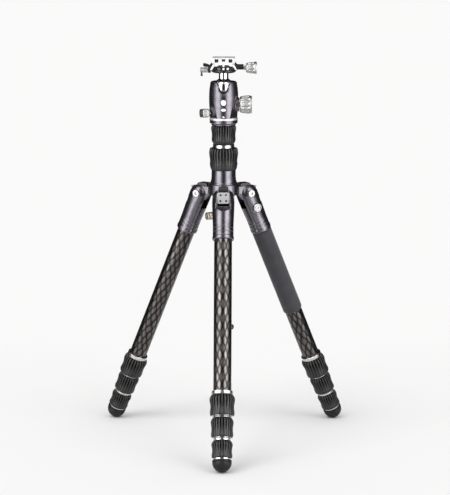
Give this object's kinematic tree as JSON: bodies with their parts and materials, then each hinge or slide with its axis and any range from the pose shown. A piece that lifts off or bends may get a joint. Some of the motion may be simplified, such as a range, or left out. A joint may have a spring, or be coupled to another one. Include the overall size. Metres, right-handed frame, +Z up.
{
  "type": "travel tripod with ball head",
  "caption": "Folding travel tripod with telescoping composite legs, two-stage centre column, ball head and a quick-release clamp holding a camera plate.",
  "frame": {"origin": "point on the floor directly below the centre column, level with the undersides of the three feet", "axes": "+Z up along the centre column, -Y towards the front leg, +X towards the ball-lock knob"},
  "size_m": [0.3944, 0.3456, 0.615],
  "materials": {
    "casting": "satin gunmetal anodised casting",
    "carbon_tube": "clear-coated woven composite tube",
    "rubber": "matte ribbed rubber",
    "grip_foam": "matte closed-cell foam",
    "silver_metal": "turned satin aluminium",
    "steel": "brushed stainless steel",
    "chrome_ball": "polished chrome",
    "black_metal": "black anodised aluminium",
    "plate_metal": "pale anodised aluminium",
    "black_plastic": "moulded acetal"
  },
  "bodies": {
    "spider": {"spider_hub": "casting", "pivot_bolts": "silver_metal", "lug_plates": "plate_metal", "lug_plate_screws": "black_metal", "column_bush": "black_plastic"},
    "leg_front": {"leg_front_yoke": "casting", "leg_front_tube_1": "carbon_tube"},
    "leg_front_angle_lock": {"leg_front_angle_lock": "black_plastic"},
    "leg_front_section_2": {"leg_front_tube_2": "carbon_tube"},
    "leg_front_lock_1": {"leg_front_lock_1": "rubber"},
    "leg_front_section_3": {"leg_front_tube_3": "carbon_tube"},
    "leg_front_lock_2": {"leg_front_lock_2": "rubber"},
    "leg_front_section_4": {"leg_front_tube_4": "carbon_tube", "leg_front_foot": "rubber"},
    "leg_front_lock_3": {"leg_front_lock_3": "rubber"},
    "leg_right": {"leg_right_yoke": "casting", "leg_right_tube_1": "carbon_tube", "leg_right_grip": "grip_foam"},
    "leg_right_angle_lock": {"leg_right_angle_lock": "black_plastic"},
    "leg_right_section_2": {"leg_right_tube_2": "carbon_tube"},
    "leg_right_lock_1": {"leg_right_lock_1": "rubber"},
    "leg_right_section_3": {"leg_right_tube_3": "carbon_tube"},
    "leg_right_lock_2": {"leg_right_lock_2": "rubber"},
    "leg_right_section_4": {"leg_right_tube_4": "carbon_tube", "leg_right_foot": "rubber"},
    "leg_right_lock_3": {"leg_right_lock_3": "rubber"},
    "leg_left": {"leg_left_yoke": "casting", "leg_left_tube_1": "carbon_tube"},
    "leg_left_angle_lock": {"leg_left_angle_lock": "black_plastic"},
    "leg_left_section_2": {"leg_left_tube_2": "carbon_tube"},
    "leg_left_lock_1": {"leg_left_lock_1": "rubber"},
    "leg_left_section_3": {"leg_left_tube_3": "carbon_tube"},
    "leg_left_lock_2": {"leg_left_lock_2": "rubber"},
    "leg_left_section_4": {"leg_left_tube_4": "carbon_tube", "leg_left_foot": "rubber"},
    "leg_left_lock_3": {"leg_left_lock_3": "rubber"},
    "leg_right_release": {"leg_right_release_knob": "silver_metal"},
    "hub_thumb": {"hub_thumb_screw": "silver_metal"},
    "column_lock": {"column_lock": "rubber"},
    "column_lower": {"column_tube_outer": "carbon_tube", "column_lock_ring": "silver_metal", "column_end_plug": "black_metal"},
    "hook": {"weight_hook": "steel"},
    "column_upper_lock": {"column_upper_lock": "rubber"},
    "column_upper": {"column_tube_inner": "carbon_tube", "head_mount_plate": "black_metal", "head_base": "casting", "index_ring": "silver_metal"},
    "head": {"head_housing": "casting"},
    "pan_lock": {"pan_lock_knob": "silver_metal"},
    "ball_lock": {"ball_lock_knob": "silver_metal"},
    "ball_cup": {"ball_cup": "black_plastic"},
    "ball": {"ball_stem": "chrome_ball", "clamp_base": "black_metal"},
    "clamp": {"clamp_body": "black_metal"},
    "clamp_thumb": {"clamp_thumb_screw": "silver_metal"},
    "jaw": {"clamp_jaw": "black_metal"},
    "clamp_knob": {"clamp_knob": "silver_metal"},
    "quick_plate": {"camera_plate": "plate_metal"},
    "camera_screw": {"camera_screw": "steel"}
  },
  "joints": [
    {"name": "leg_front_spread", "type": "hinge", "parent": "spider", "child": "leg_front", "pos_m": [0, -0.042, 0.39672], "axis": [-1, 0, 0], "range_deg": [-23.5, 146]},
    {"name": "leg_front_angle_lock_pull", "type": "slide", "parent": "spider", "child": "leg_front_angle_lock", "axis": [0, -1, 0], "range_m": [0, 0.003], "stiffness_N_per_m": 400},
    {"name": "leg_front_lock_1_twist", "type": "hinge", "parent": "leg_front", "child": "leg_front_lock_1", "pos_m": [0, -0.17517, 0.09478], "axis": [0, -0.4035, -0.915], "range_deg": [0, 90]},
    {"name": "leg_front_section_2_slide", "type": "slide", "parent": "leg_front", "child": "leg_front_section_2", "axis": [0, -0.4035, -0.915], "range_m": [0, 0.225]},
    {"name": "leg_front_lock_2_twist", "type": "hinge", "parent": "leg_front_section_2", "child": "leg_front_lock_2", "pos_m": [0, -0.18889, 0.06368], "axis": [0, -0.4035, -0.915], "range_deg": [0, 90]},
    {"name": "leg_front_section_3_slide", "type": "slide", "parent": "leg_front_section_2", "child": "leg_front_section_3", "axis": [0, -0.4035, -0.915], "range_m": [0, 0.258]},
    {"name": "leg_front_lock_3_twist", "type": "hinge", "parent": "leg_front_section_3", "child": "leg_front_lock_3", "pos_m": [0, -0.20221, 0.03348], "axis": [0, -0.4035, -0.915], "range_deg": [0, 90]},
    {"name": "leg_front_section_4_slide", "type": "slide", "parent": "leg_front_section_3", "child": "leg_front_section_4", "axis": [0, -0.4035, -0.915], "range_m": [0, 0.288]},
    {"name": "leg_right_spread", "type": "hinge", "parent": "spider", "child": "leg_right", "pos_m": [0.03637, 0.021, 0.39672], "axis": [0.5, -0.866, 0], "range_deg": [-23.5, 146]},
    {"name": "leg_right_angle_lock_pull", "type": "slide", "parent": "spider", "child": "leg_right_angle_lock", "axis": [0.866, 0.5, 0], "range_m": [0, 0.003], "stiffness_N_per_m": 400},
    {"name": "leg_right_lock_1_twist", "type": "hinge", "parent": "leg_right", "child": "leg_right_lock_1", "pos_m": [0.1517, 0.08758, 0.09478], "axis": [0.3495, 0.2018, -0.915], "range_deg": [0, 90]},
    {"name": "leg_right_section_2_slide", "type": "slide", "parent": "leg_right", "child": "leg_right_section_2", "axis": [0.3495, 0.2018, -0.915], "range_m": [0, 0.225]},
    {"name": "leg_right_lock_2_twist", "type": "hinge", "parent": "leg_right_section_2", "child": "leg_right_lock_2", "pos_m": [0.16358, 0.09445, 0.06368], "axis": [0.3495, 0.2018, -0.915], "range_deg": [0, 90]},
    {"name": "leg_right_section_3_slide", "type": "slide", "parent": "leg_right_section_2", "child": "leg_right_section_3", "axis": [0.3495, 0.2018, -0.915], "range_m": [0, 0.258]},
    {"name": "leg_right_lock_3_twist", "type": "hinge", "parent": "leg_right_section_3", "child": "leg_right_lock_3", "pos_m": [0.17512, 0.1011, 0.03348], "axis": [0.3495, 0.2018, -0.915], "range_deg": [0, 90]},
    {"name": "leg_right_section_4_slide", "type": "slide", "parent": "leg_right_section_3", "child": "leg_right_section_4", "axis": [0.3495, 0.2018, -0.915], "range_m": [0, 0.288]},
    {"name": "leg_left_spread", "type": "hinge", "parent": "spider", "child": "leg_left", "pos_m": [-0.03637, 0.021, 0.39672], "axis": [0.5, 0.866, 0], "range_deg": [-23.5, 146]},
    {"name": "leg_left_angle_lock_pull", "type": "slide", "parent": "spider", "child": "leg_left_angle_lock", "axis": [-0.866, 0.5, 0], "range_m": [0, 0.003], "stiffness_N_per_m": 400},
    {"name": "leg_left_lock_1_twist", "type": "hinge", "parent": "leg_left", "child": "leg_left_lock_1", "pos_m": [-0.1517, 0.08758, 0.09478], "axis": [-0.3495, 0.2018, -0.915], "range_deg": [0, 90]},
    {"name": "leg_left_section_2_slide", "type": "slide", "parent": "leg_left", "child": "leg_left_section_2", "axis": [-0.3495, 0.2018, -0.915], "range_m": [0, 0.225]},
    {"name": "leg_left_lock_2_twist", "type": "hinge", "parent": "leg_left_section_2", "child": "leg_left_lock_2", "pos_m": [-0.16358, 0.09445, 0.06368], "axis": [-0.3495, 0.2018, -0.915], "range_deg": [0, 90]},
    {"name": "leg_left_section_3_slide", "type": "slide", "parent": "leg_left_section_2", "child": "leg_left_section_3", "axis": [-0.3495, 0.2018, -0.915], "range_m": [0, 0.258]},
    {"name": "leg_left_lock_3_twist", "type": "hinge", "parent": "leg_left_section_3", "child": "leg_left_lock_3", "pos_m": [-0.17512, 0.1011, 0.03348], "axis": [-0.3495, 0.2018, -0.915], "range_deg": [0, 90]},
    {"name": "leg_left_section_4_slide", "type": "slide", "parent": "leg_left_section_3", "child": "leg_left_section_4", "axis": [-0.3495, 0.2018, -0.915], "range_m": [0, 0.288]},
    {"name": "leg_right_release_turn", "type": "hinge", "parent": "leg_right", "child": "leg_right_release", "pos_m": [0.04546, 0.02625, 0.37293], "axis": [0.5, -0.866, 0], "range_deg": [0, 180]},
    {"name": "hub_thumb_turn", "type": "hinge", "parent": "spider", "child": "hub_thumb", "pos_m": [0, 0, 0.3635], "axis": [-0.866, -0.5, 0], "range_deg": [0, 270]},
    {"name": "column_lock_twist", "type": "hinge", "parent": "spider", "child": "column_lock", "pos_m": [0, 0, 0.455], "axis": [0, 0, 1], "range_deg": [0, 90]},
    {"name": "column_slide", "type": "slide", "parent": "spider", "child": "column_lower", "axis": [0, 0, 1], "range_m": [0, 0.14]},
    {"name": "hook_swing", "type": "hinge", "parent": "column_lower", "child": "hook", "pos_m": [0, 0, 0.193], "axis": [0, 1, 0], "range_deg": [-35, 35]},
    {"name": "column_upper_lock_twist", "type": "hinge", "parent": "column_lower", "child": "column_upper_lock", "pos_m": [0, 0, 0.492], "axis": [0, 0, 1], "range_deg": [0, 90]},
    {"name": "column_upper_slide", "type": "slide", "parent": "column_lower", "child": "column_upper", "axis": [0, 0, 1], "range_m": [0, 0.2]},
    {"name": "head_pan", "type": "hinge", "parent": "column_upper", "child": "head", "pos_m": [0, 0, 0.5183], "axis": [0, 0, 1], "continuous": true},
    {"name": "pan_lock_turn", "type": "hinge", "parent": "head", "child": "pan_lock", "pos_m": [0, 0, 0.527], "axis": [-0.9848, -0.1736, 0], "range_deg": [0, 180]},
    {"name": "ball_lock_turn", "type": "hinge", "parent": "head", "child": "ball_lock", "pos_m": [0, 0, 0.5403], "axis": [1, 0, 0], "range_deg": [0, 270]},
    {"name": "ball_side_tilt", "type": "hinge", "parent": "head", "child": "ball_cup", "pos_m": [0, 0, 0.5672], "axis": [0, 1, 0], "range_deg": [-30, 30]},
    {"name": "ball_front_tilt", "type": "hinge", "parent": "ball_cup", "child": "ball", "pos_m": [0, 0, 0.5672], "axis": [1, 0, 0], "range_deg": [-15, 90]},
    {"name": "clamp_pan", "type": "hinge", "parent": "ball", "child": "clamp", "pos_m": [0, 0, 0.5956], "axis": [0, 0, 1], "continuous": true},
    {"name": "clamp_thumb_turn", "type": "hinge", "parent": "clamp", "child": "clamp_thumb", "pos_m": [-0.03, 0, 0.5949], "axis": [-1, 0, 0], "range_deg": [0, 90]},
    {"name": "clamp_jaw_slide", "type": "slide", "parent": "clamp", "child": "jaw", "axis": [1, 0, 0], "range_m": [0, 0.0025]},
    {"name": "clamp_knob_turn", "type": "hinge", "parent": "jaw", "child": "clamp_knob", "pos_m": [0.03, 0, 0.5984], "axis": [1, 0, 0], "range_deg": [0, 725]},
    {"name": "camera_plate_slide", "type": "slide", "parent": "clamp", "child": "quick_plate", "axis": [0, 1, 0], "range_m": [-0.01, 0.01]},
    {"name": "camera_screw_rise", "type": "slide", "parent": "quick_plate", "child": "camera_screw", "axis": [0, 0, 1], "range_m": [0, 0.0029]}
  ],
  "couplings": [
    {"joint": "clamp_knob_turn", "follows": "clamp_jaw_slide", "rad_per_m": 5026.5}
  ]
}
